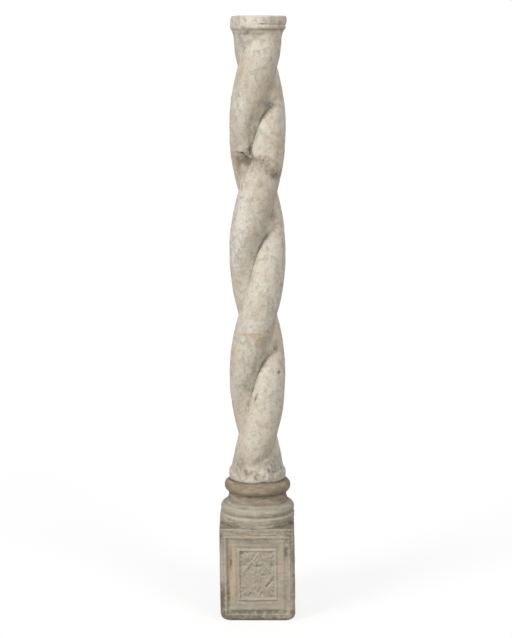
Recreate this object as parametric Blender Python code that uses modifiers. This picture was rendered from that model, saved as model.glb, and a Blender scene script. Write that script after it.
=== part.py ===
"""A twisted marble column on its carved pedestal.

The shaft is one stone: two strands turned about each other like a rope, with a bead at the head and a ring
at the foot. The pedestal is a second stone: a square die with framed panels, and turned mouldings above it.

Metres, +Z up. The origin is the middle of the pedestal's underside, and the carved front faces -Y."""

import math

import bmesh
import bpy
from mathutils import Matrix, Vector

# The pedestal's die, a square block with worn edges
DIE_WIDTH = 0.190
DIE_HEIGHT = 0.238
EDGE_ROUNDING = 0.0085
TOP_ROUNDING = 0.0030

# The frame that is sunk in each face of the die: its outline, then its steps from the outside inwards, each
# a width across the face and a rise out of it. Its band is wider at the foot
FRAME_MARGIN = 0.0160
FRAME_FOOT_MARGIN = 0.0175
FRAME_HEAD_MARGIN = 0.0220
FRAME_STEPS = {
    "outer groove": (0.0080, -0.0045),
    "slope to the band": (0.0040, 0.0025),
    "band": (0.0105, 0.0000),
    "inner groove": (0.0040, -0.0025),
    "slope to the fillet": (0.0030, 0.0030),
    "fillet": (0.0045, 0.0000),
    "drop to the field": (0.0015, -0.0040),
}
BAND_FOOT_EXTRA = 0.0055

# The relief in the field of a panel
LOZENGE_GAP = 0.0010
LOZENGE_BAND = 0.0048
LOZENGE_HEIGHT = 0.0032
PETALS = 8
PETAL_LENGTH = 0.0185
PETAL_WIDTH = 0.0092
PETAL_HEIGHT = 0.0034
BUTTON_RADIUS = 0.0046
BUTTON_HEIGHT = 0.0042
LEAF_LENGTH = 0.0260
LEAF_WIDTH = 0.0088
LEAF_HEIGHT = 0.0034
LEAF_FAN = (-68, -34, 0, 34, 68)
BUD_LENGTH = 0.0210
BUD_FAN = (-48, 0, 48)
RELIEF_SUNK = 0.0003

# The turned mouldings on the die, from below: a drum, a torus, a hollow and a larger torus
DRUM_RADIUS = 0.0940
DRUM_HEIGHT = 0.0210
DRUM_SEAT = 0.0080
LOWER_TORUS_REACH = 0.0922
LOWER_TORUS_ROUND = 0.0135
HOLLOW_RADIUS = 0.0705
HOLLOW_HEIGHT = 0.0255
HOLLOW_TOP_RADIUS = 0.0715
UPPER_TORUS_REACH = 0.0828
UPPER_TORUS_ROUND = 0.0190
UPPER_TORUS_HEIGHT = 0.0328

# The shaft's height, and the section of its two strands
SHAFT_HEIGHT = 1.1554
STRAND_RADIUS = 0.0463
STRAND_OFFSET = 0.0231
STRAND_SHOULDER = 0.0022
GROOVE_DEPTH = 0.0075
GROOVE_WIDTH = 0.22

# The twist: the height of one full turn, and the lowest narrow waist above the shaft's foot
TWIST_PITCH = 0.6144
LOWEST_WAIST = 0.1106
WAIST_TURN = 90.0

# The ring at the foot and the bell that the strands melt into above it
FOOT_RING_RADIUS = 0.0712
FOOT_RING_HEIGHT = 0.0270
FOOT_FLARE_RADIUS = 0.0655
FOOT_FLARE_HEIGHT = 0.0120
FOOT_BELL_RADIUS = 0.0620
FOOT_BELL_HEIGHT = 0.0560

# The bead and fillet at the head and the bell below them
HEAD_BEAD_RADIUS = 0.0690
HEAD_BEAD_HEIGHT = 0.0235
HEAD_FILLET_RADIUS = 0.0676
HEAD_FILLET_HEIGHT = 0.0125
HEAD_FLARE_RADIUS = 0.0630
HEAD_FLARE_HEIGHT = 0.0130
HEAD_BELL_RADIUS = 0.0575
HEAD_BELL_HEIGHT = 0.0450
EDGE_WEAR = 0.0035

# The bed between shaft and pedestal, and how finely the round forms are cut
BED_GAP = 0.0003
SHAFT_SIDES = 36
SHAFT_ROW = 0.0235
TURNED_SIDES = 40
ROUND_STEPS = 6

FRAME_FOOT = FRAME_FOOT_MARGIN
FRAME_TOP = DIE_HEIGHT - FRAME_HEAD_MARGIN
FRAME_WIDTH = sum(width for width, rise in FRAME_STEPS.values())
FIELD_DEPTH = sum(rise for width, rise in FRAME_STEPS.values())
FIELD_HALF_WIDTH = DIE_WIDTH / 2 - FRAME_MARGIN - FRAME_WIDTH
FIELD_HALF_HEIGHT = (FRAME_TOP - FRAME_FOOT - BAND_FOOT_EXTRA) / 2 - FRAME_WIDTH
FIELD_MIDDLE = (FRAME_TOP + FRAME_FOOT + BAND_FOOT_EXTRA) / 2
DRUM_TOP = DIE_HEIGHT + DRUM_HEIGHT
HOLLOW_FOOT = DRUM_TOP + 2 * LOWER_TORUS_ROUND
HOLLOW_TOP = HOLLOW_FOOT + HOLLOW_HEIGHT
SEAT_HEIGHT = HOLLOW_TOP + UPPER_TORUS_HEIGHT


def clear_scene():
    for obj in list(bpy.data.objects):
        bpy.data.objects.remove(obj, do_unlink=True)


def new_collection(name):
    collection = bpy.data.collections.new(name)
    bpy.context.scene.collection.children.link(collection)
    return collection


def new_object(name, mesh_data, collection, flat=False):
    """Makes an object from a bmesh, flat or smooth but for its sharp edges."""
    mesh = bpy.data.meshes.new(name)
    mesh_data.to_mesh(mesh)
    mesh_data.free()
    if flat:
        mesh.shade_flat()
    else:
        mesh.shade_smooth()
        mesh.set_sharp_from_angle(angle=math.radians(38))
    obj = bpy.data.objects.new(name, mesh)
    collection.objects.link(obj)
    return obj


def stone_material(name, colour, roughness):
    material = bpy.data.materials.new(name)
    material.use_nodes = True
    shader = material.node_tree.nodes["Principled BSDF"]
    shader.inputs["Base Color"].default_value = (*colour, 1)
    shader.inputs["Roughness"].default_value = roughness
    shader.inputs["Metallic"].default_value = 0
    material.diffuse_color = (*colour, 1)
    return material


def smooth_step(low, high, value):
    share = min(1, max(0, (value - low) / (high - low)))
    return share * share * (3 - 2 * share)


def arc(centre_radius, centre_height, reach, top_angle, foot_angle):
    """Points of a turned round, from its top to its foot, as (radius, height)."""
    angles = [top_angle + (foot_angle - top_angle) * i / ROUND_STEPS for i in range(ROUND_STEPS + 1)]
    return [
        (centre_radius + reach * math.cos(angle), centre_height + reach * math.sin(angle))
        for angle in angles
    ]


def moulding_profile():
    """The outer line of the turned mouldings, from the seat down into the die, as (radius, height)."""
    half = UPPER_TORUS_HEIGHT / 2
    upper_angle = math.asin(half / UPPER_TORUS_ROUND)
    upper = arc(UPPER_TORUS_REACH - UPPER_TORUS_ROUND, HOLLOW_TOP + half,
                UPPER_TORUS_ROUND, upper_angle, -upper_angle)
    lower = arc(LOWER_TORUS_REACH - LOWER_TORUS_ROUND, DRUM_TOP + LOWER_TORUS_ROUND,
                LOWER_TORUS_ROUND, math.pi / 2, -math.pi / 2)
    rim_radius = lower[0][0]
    hollow = []
    for i in range(1, ROUND_STEPS):
        share = i / ROUND_STEPS
        straight = HOLLOW_TOP_RADIUS + (rim_radius - HOLLOW_TOP_RADIUS) * share ** 1.2
        sag = (HOLLOW_TOP_RADIUS - HOLLOW_RADIUS) * math.sin(math.pi * share)
        hollow.append((straight - sag, HOLLOW_TOP - HOLLOW_HEIGHT * share))
    drum = [(DRUM_RADIUS, DRUM_TOP), (DRUM_RADIUS, DIE_HEIGHT - DRUM_SEAT)]
    return [(0, SEAT_HEIGHT), *upper, *hollow, *lower, *drum, (0, DIE_HEIGHT - DRUM_SEAT)]


def make_mouldings(collection):
    """The turned mouldings as a solid that overlaps the die by DRUM_SEAT."""
    shape = bmesh.new()
    points = [shape.verts.new((radius, 0, height)) for radius, height in moulding_profile()]
    for upper, lower in zip(points, points[1:]):
        shape.edges.new((upper, lower))
    obj = new_object("turned_mouldings", shape, collection)
    screw = obj.modifiers.new("Turn", "SCREW")
    screw.steps = screw.render_steps = TURNED_SIDES
    screw.use_merge_vertices = True
    screw.merge_threshold = 0.00005
    return obj


def sink_frames(shape):
    """Marks the outline of a frame on the four upright faces, and sinks the frame's steps inside it."""
    side = DIE_WIDTH / 2 - FRAME_MARGIN
    cuts = [((0, 0, height), (0, 0, 1)) for height in (FRAME_FOOT, FRAME_TOP)]
    cuts += [((reach, 0, 0), (1, 0, 0)) for reach in (-side, side)]
    cuts += [((0, reach, 0), (0, 1, 0)) for reach in (-side, side)]
    for point, normal in cuts:
        everything = shape.verts[:] + shape.edges[:] + shape.faces[:]
        bmesh.ops.bisect_plane(shape, geom=everything, plane_co=point, plane_no=normal)
    panels = []
    for face in shape.faces:
        middle = face.calc_center_median()
        if abs(face.normal.z) < 0.5 and FRAME_FOOT < middle.z < FRAME_TOP:
            if min(abs(middle.x), abs(middle.y)) < side / 2:
                panels.append(face)
    for step, (width, rise) in FRAME_STEPS.items():
        bmesh.ops.inset_individual(shape, faces=panels, thickness=width, depth=rise, use_even_offset=True)
        if step == "band":
            low = [v for face in panels for v in face.verts if v.co.z < face.calc_center_median().z]
            bmesh.ops.translate(shape, verts=low, vec=(0, 0, BAND_FOOT_EXTRA))


def wear_edges(shape, chosen, wear, segments):
    bmesh.ops.bevel(shape, geom=chosen, offset=wear, segments=segments, profile=0.5, affect="EDGES")


def outline_at(shape, height):
    """The edges where the level face at a height meets the upright sides."""
    return [
        edge
        for edge in shape.edges
        if all(abs(v.co.z - height) < 0.0001 for v in edge.verts)
        and any(abs(face.normal.z) < 0.5 for face in edge.link_faces)
    ]


def make_die(collection):
    """The square block with its frames, and with worn upright, lower and upper edges."""
    rim = DIE_WIDTH / 2 - 0.0001
    shape = bmesh.new()
    place = Matrix.Translation((0, 0, DIE_HEIGHT / 2)) @ Matrix.Diagonal((DIE_WIDTH, DIE_WIDTH, DIE_HEIGHT, 1))
    bmesh.ops.create_cube(shape, size=1, matrix=place)
    sink_frames(shape)
    upright = [edge for edge in shape.edges if all(min(abs(v.co.x), abs(v.co.y)) > rim for v in edge.verts)]
    wear_edges(shape, upright + outline_at(shape, 0), EDGE_ROUNDING, 2)
    wear_edges(shape, outline_at(shape, DIE_HEIGHT), TOP_ROUNDING, 1)
    bmesh.ops.recalc_face_normals(shape, faces=shape.faces[:])
    return new_object("carved_pedestal", shape, collection, flat=True)


def face_matrix(quarter_turns):
    """Takes (across, up, outwards) from a panel's middle to the face after that many quarter turns."""
    turn = Matrix.Rotation(math.radians(90) * quarter_turns, 4, "Z")
    middle = Matrix.Translation((0, -DIE_WIDTH / 2 - FIELD_DEPTH, FIELD_MIDDLE))
    return turn @ middle @ Matrix.Rotation(math.radians(90), 4, "X")


def add_spindle(name, face, place, angle, size, collection):
    """A pointed lobe of the relief, a little over half sunk in the field. size is (length, width, height)."""
    length, width, height = size
    shape = bmesh.new()
    lie_down = Matrix.Rotation(math.radians(90), 4, "Y")
    scale = Matrix.Diagonal((length / 2, width / 2, height, 1))
    bmesh.ops.create_uvsphere(shape, u_segments=8, v_segments=4, radius=1, matrix=scale @ lie_down)
    obj = new_object(name, shape, collection)
    obj.matrix_world = face @ Matrix.Translation((*place, -RELIEF_SUNK)) @ Matrix.Rotation(angle, 4, "Z")
    return obj


def add_fan(name, face, root, heading, fan, length, collection):
    """Lobes that spread from one root, the middle one the longest, like a small palmette."""
    for number, spread in enumerate(fan):
        angle = heading + math.radians(spread)
        reach = length * (1 - 0.35 * abs(spread) / 90)
        middle = root + Vector((math.cos(angle), math.sin(angle))) * reach * 0.55
        size = (reach, LEAF_WIDTH * (1 - 0.2 * abs(spread) / 90), LEAF_HEIGHT)
        add_spindle(f"{name}_{number}", face, middle, angle, size, collection)


def lozenge_reach():
    return FIELD_HALF_WIDTH - LOZENGE_GAP, FIELD_HALF_HEIGHT - LOZENGE_GAP


def add_lozenge(name, face, collection):
    """A raised diamond-shaped band: a four-sided plate whose middle is sunk below the field."""
    across, up = lozenge_reach()
    shape = bmesh.new()
    stretch = Matrix.Diagonal((across, up, 1, 1))
    bmesh.ops.create_cone(shape, cap_ends=True, segments=4, radius1=1, radius2=1,
                          depth=2 * LOZENGE_HEIGHT, matrix=stretch)
    plate = [f for f in shape.faces if f.normal.z > 0.5]
    bmesh.ops.inset_individual(shape, faces=plate, thickness=LOZENGE_BAND, depth=0, use_even_offset=True)
    bmesh.ops.translate(shape, verts=plate[0].verts[:], vec=(0, 0, -1.6 * LOZENGE_HEIGHT))
    obj = new_object(name, shape, collection)
    obj.matrix_world = face
    return obj


def add_rosette(name, face, collection):
    for number in range(PETALS):
        angle = 2 * math.pi * (number + 0.5) / PETALS
        reach = BUTTON_RADIUS * 0.6 + PETAL_LENGTH / 2
        middle = Vector((math.cos(angle), math.sin(angle))) * reach
        size = (PETAL_LENGTH, PETAL_WIDTH, PETAL_HEIGHT)
        add_spindle(f"{name}_{number}", face, middle, angle, size, collection)
    button = (2 * BUTTON_RADIUS, 2 * BUTTON_RADIUS, BUTTON_HEIGHT)
    add_spindle(f"{name}_button", face, Vector((0, 0)), 0, button, collection)


def add_leaves(name, face, collection):
    """A palmette in each corner outside the lozenge, and a bud above and below the rosette."""
    across, up = lozenge_reach()
    for side in (-1, 1):
        for level in (-1, 1):
            heading = math.atan2(level * up, side * across)
            root = Vector((side * across, level * up)) * 0.54
            add_fan(f"{name}_{side}_{level}", face, root, heading, LEAF_FAN, LEAF_LENGTH, collection)
    for level in (-1, 1):
        root = Vector((0, level * (BUTTON_RADIUS + PETAL_LENGTH)))
        add_fan(f"{name}_bud_{level}", face, root, level * math.pi / 2, BUD_FAN, BUD_LENGTH, collection)


def make_relief(collection):
    """The full relief on the front, a plainer lozenge and rosette on the sides, and a bare back."""
    for quarter_turns, side_name in ((0, "front"), (1, "right"), (3, "left")):
        face = face_matrix(quarter_turns)
        add_lozenge(f"{side_name}_lozenge", face, collection)
        add_rosette(f"{side_name}_petal", face, collection)
        if side_name == "front":
            add_leaves(f"{side_name}_leaf", face, collection)


def make_pedestal(stone, cutters):
    """The die, its mouldings and its relief, joined into one stone."""
    relief = bpy.data.collections.new("relief")
    cutters.children.link(relief)
    mouldings = make_mouldings(cutters)
    make_relief(relief)
    pedestal = make_die(stone)
    turned = pedestal.modifiers.new("Turned mouldings", "BOOLEAN")
    turned.operation = "UNION"
    turned.object = mouldings
    carved = pedestal.modifiers.new("Relief", "BOOLEAN")
    carved.operation = "UNION"
    carved.operand_type = "COLLECTION"
    carved.collection = relief
    return pedestal


def strand_section(angle):
    """The radius of the two-strand section at an angle from the line through both strands."""
    along, across = math.cos(angle), math.sin(angle)
    circles = STRAND_OFFSET * abs(along) + math.sqrt(STRAND_RADIUS ** 2 - (STRAND_OFFSET * across) ** 2)
    shoulder = STRAND_SHOULDER * math.sin(2 * angle) ** 2
    groove = GROOVE_DEPTH * math.exp(-abs(along) / GROOVE_WIDTH)
    return circles + shoulder - groove


def ring_rows():
    """The round profiles of the foot and the head, from the foot up, as (height, radius)."""
    foot = [
        (0, FOOT_RING_RADIUS - EDGE_WEAR),
        (EDGE_WEAR, FOOT_RING_RADIUS - EDGE_WEAR / 4),
        (FOOT_RING_HEIGHT / 2, FOOT_RING_RADIUS),
        (FOOT_RING_HEIGHT - EDGE_WEAR, FOOT_RING_RADIUS - EDGE_WEAR / 4),
        (FOOT_RING_HEIGHT, FOOT_FLARE_RADIUS),
        (FOOT_RING_HEIGHT + FOOT_FLARE_HEIGHT, FOOT_BELL_RADIUS),
    ]
    bead_foot = SHAFT_HEIGHT - HEAD_BEAD_HEIGHT
    fillet_foot = bead_foot - HEAD_FILLET_HEIGHT
    head = [
        (fillet_foot - HEAD_FLARE_HEIGHT, HEAD_BELL_RADIUS),
        (fillet_foot - EDGE_WEAR, HEAD_FLARE_RADIUS),
        (fillet_foot, HEAD_FILLET_RADIUS - EDGE_WEAR / 2),
        (fillet_foot + EDGE_WEAR, HEAD_FILLET_RADIUS),
        (bead_foot - EDGE_WEAR, HEAD_FILLET_RADIUS),
        (bead_foot, HEAD_FILLET_RADIUS - EDGE_WEAR / 2),
        (bead_foot + EDGE_WEAR, HEAD_BEAD_RADIUS - EDGE_WEAR / 4),
        (bead_foot + HEAD_BEAD_HEIGHT / 2, HEAD_BEAD_RADIUS),
        (SHAFT_HEIGHT - EDGE_WEAR, HEAD_BEAD_RADIUS - EDGE_WEAR / 4),
        (SHAFT_HEIGHT, HEAD_BEAD_RADIUS - EDGE_WEAR),
    ]
    return foot, head


def shaft_rows():
    """Each row of the shaft as (height, round radius, share of the round form)."""
    foot, head = ring_rows()
    low, high = foot[-1][0], head[0][0]
    count = max(2, round((high - low) / SHAFT_ROW))
    rows = [(height, radius, 1) for height, radius in foot]
    for i in range(1, count):
        height = low + (high - low) * i / count
        at_foot = 1 - smooth_step(low, low + FOOT_BELL_HEIGHT, height)
        at_head = smooth_step(high - HEAD_BELL_HEIGHT, high, height)
        bell = FOOT_BELL_RADIUS if at_foot > at_head else HEAD_BELL_RADIUS
        rows.append((height, bell, max(at_foot, at_head)))
    return rows + [(height, radius, 1) for height, radius in head]


def section_angles():
    """Angles round the section, closer together at the two grooves."""
    steps = [2 * math.pi * i / SHAFT_SIDES for i in range(SHAFT_SIDES)]
    return [step + 0.25 * math.sin(2 * step) for step in steps]


def make_shaft(collection):
    """The twisted shaft: one ring of points, drawn up row by row and turned as it rises."""
    angles = section_angles()
    sections = [strand_section(angle) for angle in angles]
    shape = bmesh.new()
    ring = bmesh.ops.create_circle(shape, cap_ends=False, segments=SHAFT_SIDES, radius=1)["verts"]
    for number, (height, round_radius, roundness) in enumerate(shaft_rows()):
        if number:
            edges = [shape.edges.get((ring[i - 1], ring[i])) for i in range(SHAFT_SIDES)]
            grown = bmesh.ops.extrude_edge_only(shape, edges=edges)["geom"]
            above = {v for v in grown if isinstance(v, bmesh.types.BMVert)}
            ring = [next(e.other_vert(v) for e in v.link_edges if e.other_vert(v) in above) for v in ring]
        turn = math.radians(WAIST_TURN) + 2 * math.pi * (height - LOWEST_WAIST) / TWIST_PITCH
        for vertex, angle, strands in zip(ring, angles, sections):
            radius = strands + (round_radius - strands) * roundness
            vertex.co = (radius * math.cos(angle + turn), radius * math.sin(angle + turn), height)
    bmesh.ops.holes_fill(shape, edges=[edge for edge in shape.edges if edge.is_boundary], sides=0)
    bmesh.ops.recalc_face_normals(shape, faces=shape.faces[:])
    shaft = new_object("twisted_shaft", shape, collection)
    shaft.location = (0, 0, SEAT_HEIGHT + BED_GAP)
    return shaft


def main():
    clear_scene()
    column = new_collection("marble_column")
    cutters = new_collection("cutters")
    pedestal = make_pedestal(column, cutters)
    shaft = make_shaft(column)
    pedestal.data.materials.append(stone_material("weathered_pedestal_marble", (0.42, 0.37, 0.29), 0.78))
    shaft.data.materials.append(stone_material("pale_shaft_marble", (0.60, 0.55, 0.47), 0.66))
    for helper in cutters.all_objects:
        helper.hide_render = True
        helper.display_type = "WIRE"


main()
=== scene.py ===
"""A twisted marble column on its carved pedestal: the worn surface of both stones, the floor and the light.

Laid out as a Blender add-on and run as a script. Metres, +Z up. The carved front faces -Y."""

import math

import bmesh
import bpy
import numpy as np
from bpy.props import FloatProperty, FloatVectorProperty, PointerProperty
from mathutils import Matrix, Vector, noise


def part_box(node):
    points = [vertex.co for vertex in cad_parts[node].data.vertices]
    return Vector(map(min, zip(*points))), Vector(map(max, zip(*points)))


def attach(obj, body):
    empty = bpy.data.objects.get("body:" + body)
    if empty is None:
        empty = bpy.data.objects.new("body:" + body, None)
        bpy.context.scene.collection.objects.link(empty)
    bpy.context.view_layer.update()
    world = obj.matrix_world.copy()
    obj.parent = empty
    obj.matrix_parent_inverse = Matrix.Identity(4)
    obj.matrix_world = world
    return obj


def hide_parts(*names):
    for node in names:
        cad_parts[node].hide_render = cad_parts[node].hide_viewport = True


bl_info = {
    "name": "Twisted marble column",
    "version": (1, 0, 0),
    "blender": (4, 5, 0),
    "location": "View3D > Sidebar > Column",
    "description": "Carves and weathers a twisted marble shaft and its pedestal, and lights them",
    "category": "Object",
}

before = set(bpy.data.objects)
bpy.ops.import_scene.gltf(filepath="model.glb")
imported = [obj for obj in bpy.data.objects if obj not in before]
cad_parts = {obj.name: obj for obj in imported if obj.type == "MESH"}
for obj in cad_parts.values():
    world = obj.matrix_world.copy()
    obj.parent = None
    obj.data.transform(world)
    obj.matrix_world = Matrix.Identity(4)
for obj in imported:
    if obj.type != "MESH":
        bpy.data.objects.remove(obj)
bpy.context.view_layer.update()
SHAFT_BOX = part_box("twisted_shaft")
PEDESTAL_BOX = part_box("carved_pedestal")
MM = 0.001

# The shaft, in millimetres, and how its two strands turn and end
SHAFT_FOOT = SHAFT_BOX[0].z / MM
SHAFT_HEAD = SHAFT_BOX[1].z / MM
SHAFT_HEIGHT = SHAFT_HEAD - SHAFT_FOOT
STRAND_SHOULDER = 2.2
CREASE_BLEND = 0.11
LOWEST_WAIST = 110.6
WAIST_TURN = 90.0
STRAND_ENDS = (105, 28)
STRAND_TAPER = 0.10

# The groove between the strands: its two flanks and how its line bends, in radians round the shaft, and
# where it starts and runs out, in degrees from the front
GROOVE_FLANK = 0.44
GROOVE_EDGE = 0.15
GROOVE_SHIFT = -0.05
GROOVE_BEND = 0.25
GROOVE_REACH = 0.25
GROOVE_RUN = (-50, -25, 14, 86)

# The ring at the foot and the mouldings at the head, as (height, radius). The head's heights count down.
# The ring is broken off round the front, and the head is worn from the back to the front's middle
FOOT_BELL = ((33.7, 64.6), (43.8, 62.3), (64, 58.6), (79, 55.6), (94, 51.8), (111, 47))
FOOT_RING = ((0, 66), (2, 69.6), (5, 70.9), (13.5, 71.4), (22, 70.9), (25.5, 69.2), (28.5, 65.6),
             *FOOT_BELL)
FOOT_BROKEN = ((0, 64), (2, 66.2), (5, 67), (13.5, 66.6), (22, 65.9), (28.5, 65.2), *FOOT_BELL)
HEAD_BELL = ((36, 63.6), (46.8, 60), (57, 58), (77, 54.9), (97.5, 51.8), (121, 46.8))
HEAD_SHARP = ((0, 66), (1, 68.6), (4, 70.3), (12, 71), (17.5, 70.3), (20.5, 69.2), (22.5, 67.9),
              (24, 68.4), (26, 69), (30, 68.8), (32.5, 67.4), (34, 64.9), *HEAD_BELL)
HEAD_WORN = ((0, 62.5), (1.5, 64.8), (5, 66.3), (12, 67.3), (21, 67.3), (28, 67.5), (31, 66.9),
             (34, 64.9), *HEAD_BELL)
FOOT_BREAK = (74, 52)
HEAD_WEAR = (-165, -140, -8, 10)

# The old break across the shaft: its height at places round it, from the front to the right in degrees
BREAK_TURNS = (-180, -130, -90, -62, -54, -49, -44, -37, -28, -23, -19, -16, -11, 1, 9, 18, 23, 32, 40, 70,
               120, 180)
BREAK_HEIGHTS = (1151, 1158, 1166, 1169, 1168, 1166, 1159, 1156, 1154, 1156, 1164, 1170, 1160, 1158, 1155,
                 1151, 1146, 1134, 1121, 1128, 1143, 1151)
BREAK_OPEN = (-66, -54, -20, -8)
BREAK_BRUISED = (-70, -50, 60, 80)
BREAK_DEPTH = 0.5
BREAK_OPEN_DEPTH = 6.5
BREAK_FADE = 17
CRACK_DEPTH = 0.9
CRACK_WIDTH = 1.6

# The die's frame as a profile, (how far inside the frame's outline, how deep below the face), then where
# it stands on a face, and the panel within it
FRAME_PROFILE = ((-6, 0), (-3.6, 0.7), (-1.6, -0.3), (0.6, -0.4), (2.4, 0.5), (6, 3), (9, 3.7),
                 (12.5, 2.3), (14.5, 1.8), (23, 1.8), (25, 2.2), (28.3, 3.7), (31, 2), (32.2, 1.3),
                 (35, 1.3), (36.3, 2.4), (37.6, 3.4))
PANEL_RELIEF = 0.66
STROKE_DEPTH = 1.05
TOP_GROOVE = 0.6
FRAME_REACH = 79.0
FRAME_FOOT = 17.5
FRAME_TOP = 216.0
BAND_START = 14.0
BAND_END = 23.5
BAND_FOOT_EXTRA = 5.5
FIELD_MIDDLE = 119.5
LOZENGE = (42.5, 60)
LOZENGE_BAND = 6.4
DIE_HEIGHT = 238.0
SIDE_WEAR = 19.0
CORNER_FLARE = 9
CORNER_FLARE_HEIGHT = 18
SEAT_HEIGHT = PEDESTAL_BOX[1].z / MM


def smooth_step(low, high, value):
    share = np.clip((value - low) / (high - low), 0, 1)
    return share * share * (3 - 2 * share)


def window(places, value):
    """Rises from 0 to 1 between the first two places and falls back between the last two."""
    return smooth_step(places[0], places[1], value) * smooth_step(places[3], places[2], value)


def bell(value, middle, width):
    return np.exp(-(((value - middle) / width) ** 2))


def along(points, value):
    """Reads a line drawn through (place, amount) points."""
    places, amounts = zip(*points)
    return np.interp(value, places, amounts)


def around_axis(radius, turn, height):
    """Points round the column's axis. turn counts from the front to the right."""
    return np.stack([radius * np.sin(turn), -radius * np.cos(turn), height + 0 * turn], axis=-1)


def mottle(points, size, depth=3, seed=0.0):
    """Cloudy noise between about -1 and 1 at each point of a grid, with clouds of a size in millimetres."""
    flat = (points / size).reshape(-1, 3) + np.array((seed, 2.7 * seed, -1.9 * seed))
    values = [noise.fractal(place, 0.9, 2.0, depth) for place in flat.tolist()]
    return np.array(values).reshape(points.shape[:-1])


def spot(across, up, mark):
    """A soft oval mark. mark is (across, up, half width, half height, lean in degrees)."""
    place_x, place_z, half_width, half_height, lean = mark
    turn = math.radians(lean)
    x = across - place_x
    z = up - place_z
    u = (x * math.cos(turn) + z * math.sin(turn)) / half_width
    v = (z * math.cos(turn) - x * math.sin(turn)) / half_height
    return np.exp(-(u * u + v * v))


def spots(across, up, marks):
    """The sum of soft oval marks. Each is a mark as spot takes it, then how strong it is."""
    return sum(strength * spot(across, up, mark) for *mark, strength in marks)


def soft_maximum(first, second):
    """The larger of two lengths in millimetres, with the crease between them rounded off."""
    return (first + second + np.sqrt((first - second) ** 2 + 1.5)) / 2


def stroke(across, up, line):
    """How near a straight stroke each point is, 1 on it. line is (x, z, x, z, half width)."""
    x1, z1, x2, z2, half_width = line
    run = np.array((x2 - x1, z2 - z1))
    share = np.clip(((across - x1) * run[0] + (up - z1) * run[1]) / run.dot(run), 0, 1)
    gap = np.hypot(across - x1 - share * run[0], up - z1 - share * run[1])
    return bell(gap, 0, half_width)


def normals_of(grid):
    """The outward direction at each point of a grid of rows and columns that closes round."""
    across = np.roll(grid, -1, axis=1) - np.roll(grid, 1, axis=1)
    up = np.gradient(grid, axis=0)
    normal = np.cross(across, up)
    return normal / np.maximum(np.linalg.norm(normal, axis=-1, keepdims=True), 1e-9)


def hollowness(grid, passes):
    """How far each point lies below its smoothed surroundings, in millimetres, less than 0 on an edge."""
    smooth = grid.copy()
    for _ in range(passes):
        sides = np.roll(smooth, 1, axis=1) + np.roll(smooth, -1, axis=1)
        ends = np.concatenate([smooth[:1], smooth[:-1]]) + np.concatenate([smooth[1:], smooth[-1:]])
        smooth = (sides + ends + 2 * smooth) / 6
    return ((smooth - grid) * normals_of(grid)).sum(axis=-1)


def is_upright(edge):
    run = edge.verts[0].co - edge.verts[1].co
    return math.hypot(run.x, run.y) < 0.0001


def select_parts(obj, kind, wanted):
    """In edit mode, leaves only the wanted faces or edges selected."""
    bpy.ops.mesh.select_all(action="DESELECT")
    shape = bmesh.from_edit_mesh(obj.data)
    for part in getattr(shape, kind):
        part.select_set(wanted(part))
    bmesh.update_edit_mesh(obj.data)


def rough_block(name, columns, first_cuts, second_cuts):
    """A drum of stone ready to be carved: closed at both ends, with even rows of faces up its side."""
    bpy.ops.object.select_all(action="DESELECT")
    bpy.ops.mesh.primitive_cylinder_add(vertices=columns, radius=1, depth=2, end_fill_type="NGON")
    block = bpy.context.object
    block.name = name
    block.data.name = name
    bpy.ops.object.mode_set(mode="EDIT")
    bpy.ops.mesh.select_mode(type="FACE")
    select_parts(block, "faces", lambda face: abs(face.normal.z) > 0.5)
    bpy.ops.mesh.poke()
    bpy.ops.mesh.select_mode(type="EDGE")
    for cuts in (first_cuts, second_cuts):
        select_parts(block, "edges", is_upright)
        bpy.ops.mesh.subdivide(number_cuts=cuts)
    bpy.ops.object.mode_set(mode="OBJECT")
    bpy.ops.object.shade_smooth()
    return block


def block_places(block, columns, rows):
    """The column, row and end of each corner of the block: its place on the grid that is carved."""
    points = np.empty(len(block.data.vertices) * 3)
    block.data.vertices.foreach_get("co", points)
    points = points.reshape(-1, 3)
    turn = np.arctan2(points[:, 0], -points[:, 1]) / (2 * math.pi) + 0.5
    column = np.round(turn * columns).astype(int) % columns
    row = np.round((points[:, 2] + 1) / 2 * rows).astype(int)
    middle = np.hypot(points[:, 0], points[:, 1]) < 0.5
    return column, row, middle


def carve(block, grid, places):
    """Moves each corner of the block to its carved place. grid is in millimetres."""
    column, row, middle = places
    points = grid[row, column]
    points[middle, :2] = 0
    points[middle, 2] = np.where(row[middle] > 0, grid[-1, :, 2].mean(), grid[0, :, 2].mean())
    block.data.vertices.foreach_set("co", (points * MM).ravel())
    block.data.update()


def paint(block, name, amount, places):
    """Keeps an amount between 0 and 1 at each corner, for the material to read."""
    column, row, _ = places
    layer = block.data.attributes.new(name, "FLOAT", "POINT")
    layer.data.foreach_set("value", np.clip(amount, 0, 1)[row, column].astype(np.float32))


def carved_block(name, columns, cuts, grid, masks):
    """Carves a stone to its grid and keeps on it what its material reads."""
    block = rough_block(name, columns, *cuts)
    places = block_places(block, columns, len(grid) - 1)
    carve(block, grid, places)
    for mask, amount in masks.items():
        paint(block, mask, amount, places)
    return block


def finish_stone(block, material, node):
    block.data.materials.append(material)
    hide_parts(node)
    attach(block, "root")


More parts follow.
